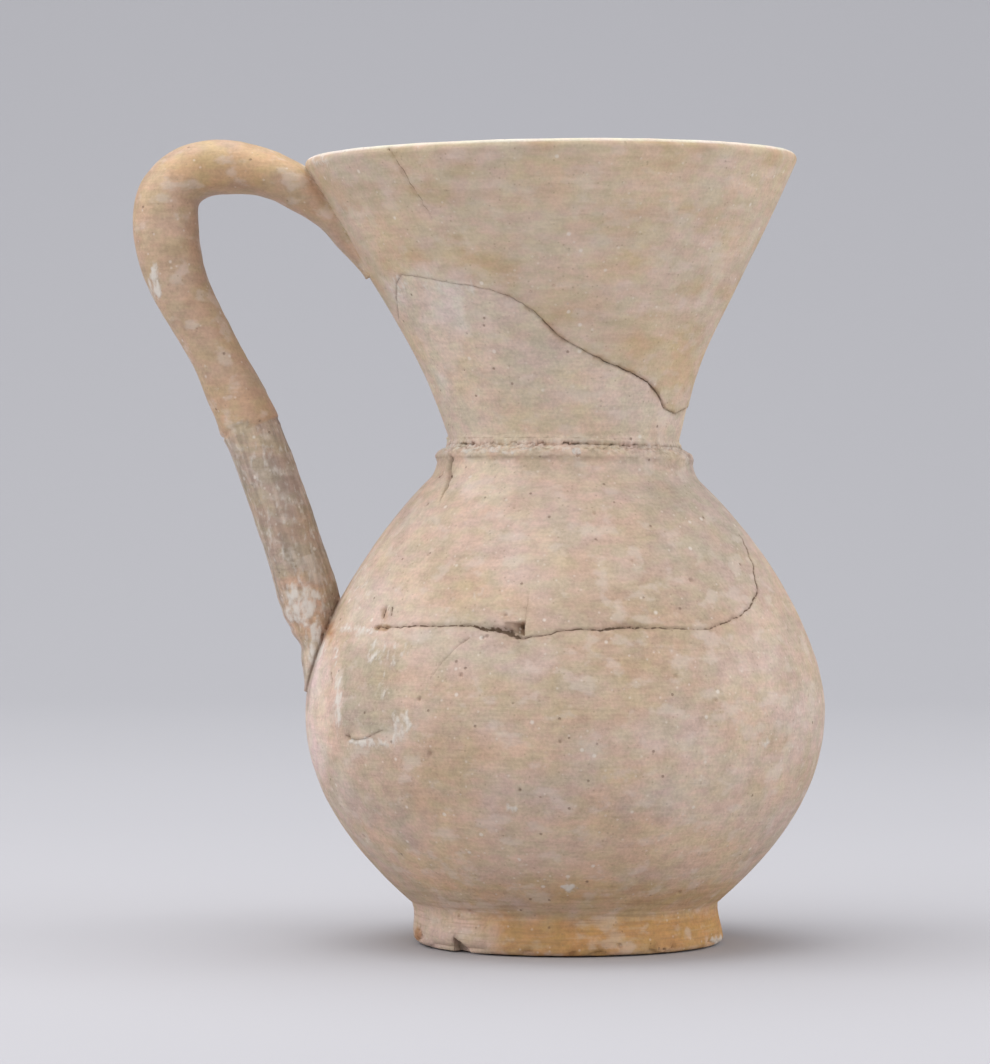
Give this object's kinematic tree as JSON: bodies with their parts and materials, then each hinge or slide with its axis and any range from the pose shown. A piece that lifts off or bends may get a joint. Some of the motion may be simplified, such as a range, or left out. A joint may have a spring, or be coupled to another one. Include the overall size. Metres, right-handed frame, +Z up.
{
  "type": "ewer",
  "caption": "Earthenware ewer with a globular body on a low disc foot, a narrow throat, a wide flared neck and a loop handle.",
  "frame": {"origin": "centre of the flat underside of the foot, where the pot stands", "axes": "+Z up along the pot's axis, -X towards the handle, -Y towards the side that the picture shows"},
  "size_m": [0.1935, 0.1454, 0.2244],
  "materials": {
    "fired_clay": "matt unglazed buff earthenware, worn and mended"
  },
  "bodies": {
    "root": {"ewer": "fired_clay"}
  },
  "joints": []
}
